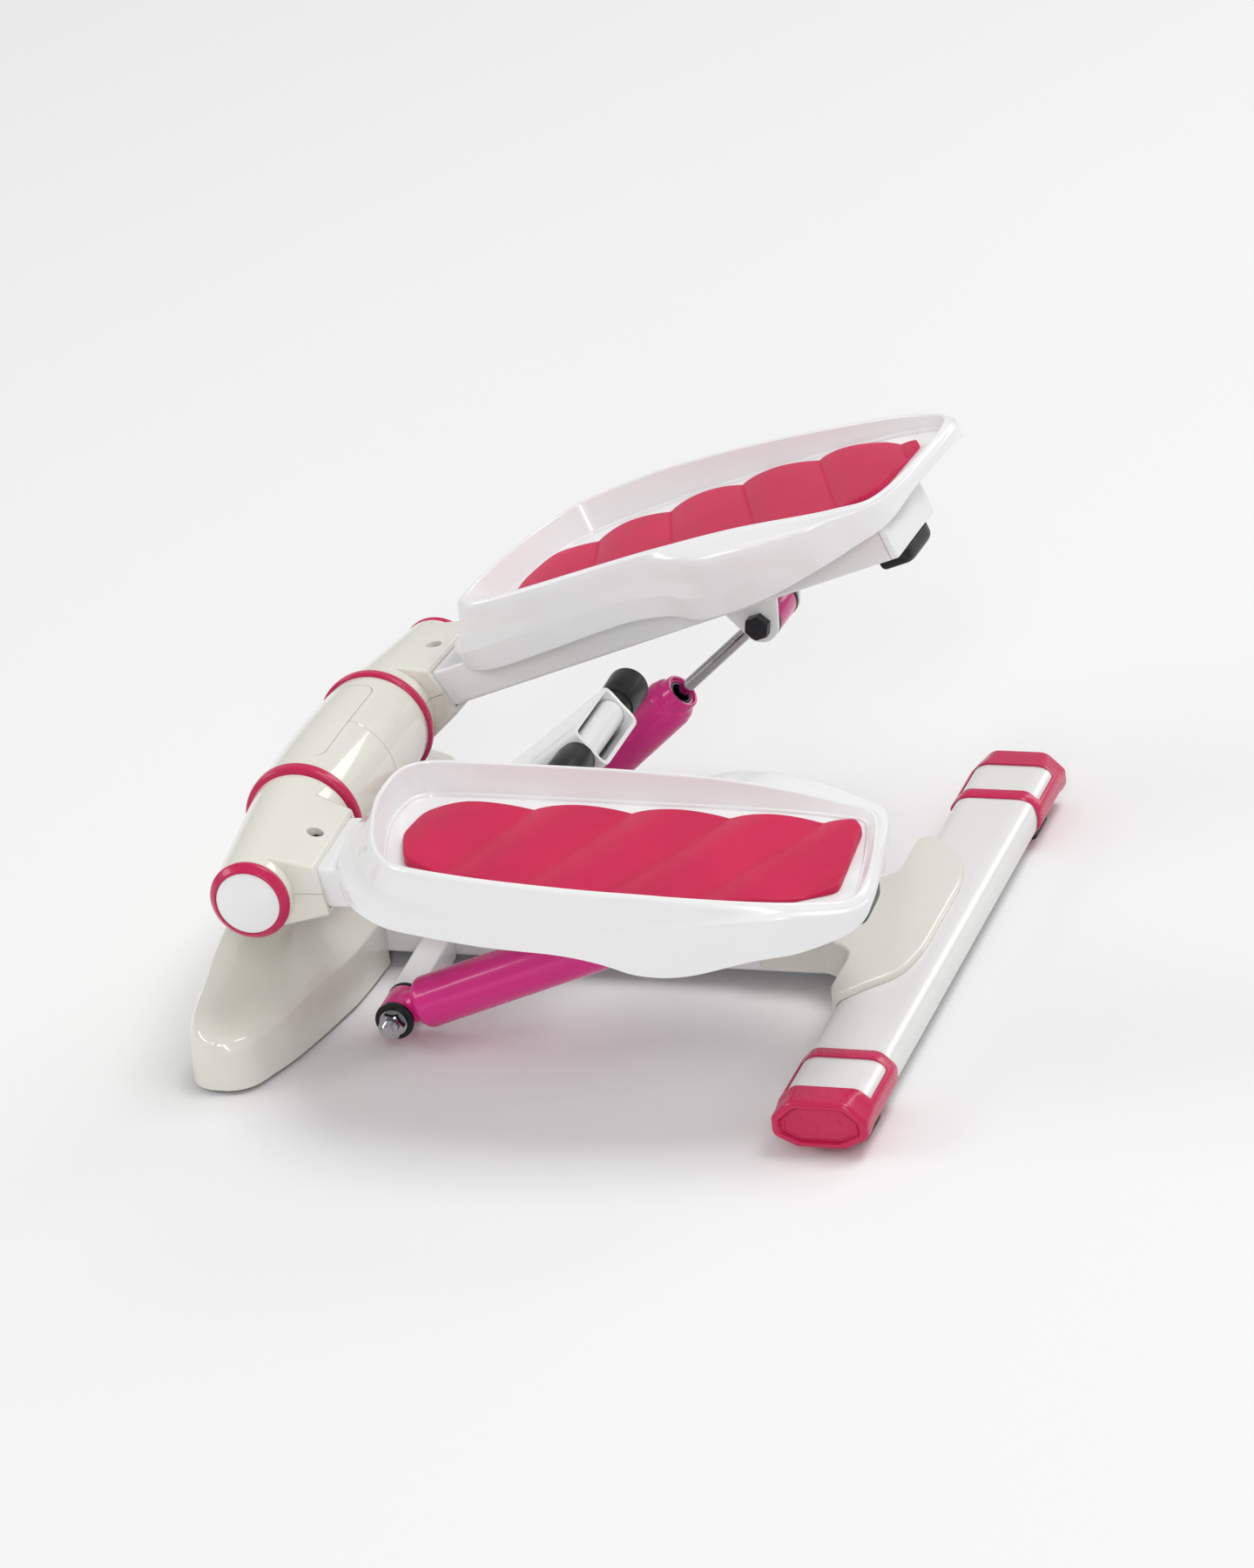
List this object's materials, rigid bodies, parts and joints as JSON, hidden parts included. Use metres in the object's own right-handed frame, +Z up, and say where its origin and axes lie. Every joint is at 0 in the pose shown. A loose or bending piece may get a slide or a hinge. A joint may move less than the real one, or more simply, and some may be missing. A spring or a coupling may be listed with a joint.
{
  "type": "stair stepper",
  "caption": "Compact floor stair stepper: foot trays on arms hinged to a front drum, each with its own damper, linked to step in turn over a low T-shaped base.",
  "frame": {"origin": "on the floor, under the centre of the object's outline", "axes": "+X is the rider's right, +Y points to the front drum, +Z is up"},
  "size_m": [0.4395, 0.407, 0.2622],
  "materials": {
    "white_plastic": "glossy white moulding",
    "white_paint": "gloss white paint on steel",
    "ivory_plastic": "glossy ivory moulding",
    "bar_paint": "pale grey paint on steel",
    "pink_plastic": "satin pink moulding",
    "pad_rubber": "soft pink, fine grain",
    "magenta_paint": "gloss magenta paint on steel",
    "black_rubber": "black, satin",
    "black_steel": "blackened steel",
    "chrome": "polished",
    "steel": "plain turned steel"
  },
  "bodies": {
    "frame": {"rear_bar": "bar_paint", "rear_cap_left": "pink_plastic", "rear_cap_right": "pink_plastic", "rear_foot_left": "black_rubber", "rear_foot_right": "black_rubber", "centre_beam": "white_paint", "rear_cover": "ivory_plastic", "front_cover": "ivory_plastic", "front_foot_bar": "white_paint", "front_pad_left": "black_rubber", "front_pad_right": "black_rubber", "front_upright": "white_paint", "drum_shell_left": "ivory_plastic", "drum_shell_right": "ivory_plastic", "drum_panel": "ivory_plastic", "drum_ring_left": "pink_plastic", "drum_ring_right": "pink_plastic", "axle": "steel", "centre_post": "white_paint", "cross_shaft": "white_paint", "shaft_sleeve_left": "black_rubber", "shaft_sleeve_right": "black_rubber", "damper_carrier_left": "white_paint", "damper_carrier_right": "white_paint", "damper_stud_left": "chrome", "damper_stud_right": "chrome"},
    "link": {"link_rocker": "steel"},
    "pedal_left": {"hub_tube_left": "steel", "hub_cover_upper_left": "ivory_plastic", "hub_cover_lower_left": "ivory_plastic", "end_ring_left": "pink_plastic", "end_dome_left": "white_plastic", "arm_left": "white_paint", "arm_plug_left": "white_plastic", "arm_bumper_left": "black_rubber", "footplate_left": "white_plastic", "foot_pad_left": "pad_rubber", "damper_lug_left": "white_paint", "lug_bolt_left": "black_steel"},
    "damper_body_left": {"damper_body_left": "magenta_paint", "damper_bush_left": "black_rubber"},
    "damper_rod_left": {"damper_rod_left": "chrome", "rod_bush_left": "black_rubber"},
    "pedal_right": {"hub_tube_right": "steel", "hub_cover_upper_right": "ivory_plastic", "hub_cover_lower_right": "ivory_plastic", "end_ring_right": "pink_plastic", "end_dome_right": "white_plastic", "arm_right": "white_paint", "arm_plug_right": "white_plastic", "arm_bumper_right": "black_rubber", "footplate_right": "white_plastic", "foot_pad_right": "pad_rubber", "damper_lug_right": "white_paint", "lug_bolt_right": "black_steel"},
    "damper_body_right": {"damper_body_right": "magenta_paint", "damper_bush_right": "black_rubber"},
    "damper_rod_right": {"damper_rod_right": "chrome", "rod_bush_right": "black_rubber"}
  },
  "joints": [
    {"name": "pedal_right_hinge", "type": "hinge", "parent": "frame", "child": "pedal_right", "pos_m": [0.1124, 0.1598, 0.109], "axis": [0.999, -0.0454, 0], "range_deg": [0, 21.2]},
    {"name": "pedal_left_hinge", "type": "hinge", "parent": "frame", "child": "pedal_left", "pos_m": [-0.1124, 0.1598, 0.109], "axis": [0.999, 0.0454, 0], "range_deg": [-21.2, 0]},
    {"name": "link_pivot", "type": "hinge", "parent": "frame", "child": "link", "pos_m": [0, 0.16213, 0.12718], "axis": [0, 0, 1], "range_deg": [-7.6, 0]},
    {"name": "damper_base_right", "type": "hinge", "parent": "frame", "child": "damper_body_right", "pos_m": [0.10963, 0.09886, 0.0165], "axis": [0.999, -0.0454, 0], "range_deg": [0, 21.2]},
    {"name": "damper_base_left", "type": "hinge", "parent": "frame", "child": "damper_body_left", "pos_m": [-0.10963, 0.09886, 0.0165], "axis": [0.999, 0.0454, 0], "range_deg": [-21.9, 0]},
    {"name": "damper_top_right", "type": "hinge", "parent": "pedal_right", "child": "damper_rod_right", "pos_m": [0.10193, -0.07072, 0.17222], "axis": [0.999, -0.0454, 0], "range_deg": [-0.1, 0]},
    {"name": "damper_top_left", "type": "hinge", "parent": "pedal_left", "child": "damper_rod_left", "pos_m": [-0.1016, -0.07795, 0.0845], "axis": [0.999, 0.0454, 0], "range_deg": [-0.7, 0]}
  ],
  "couplings": [
    {"joint": "pedal_left_hinge", "follows": "pedal_right_hinge", "ratio": -1},
    {"joint": "link_pivot", "follows": "pedal_right_hinge", "ratio": -0.3558},
    {"joint": "damper_base_right", "follows": "pedal_right_hinge", "ratio": 0.997},
    {"joint": "damper_base_left", "follows": "pedal_right_hinge", "ratio": -1.031},
    {"joint": "damper_top_right", "follows": "pedal_right_hinge", "ratio": -0.003},
    {"joint": "damper_top_left", "follows": "pedal_right_hinge", "ratio": -0.031}
  ]
}
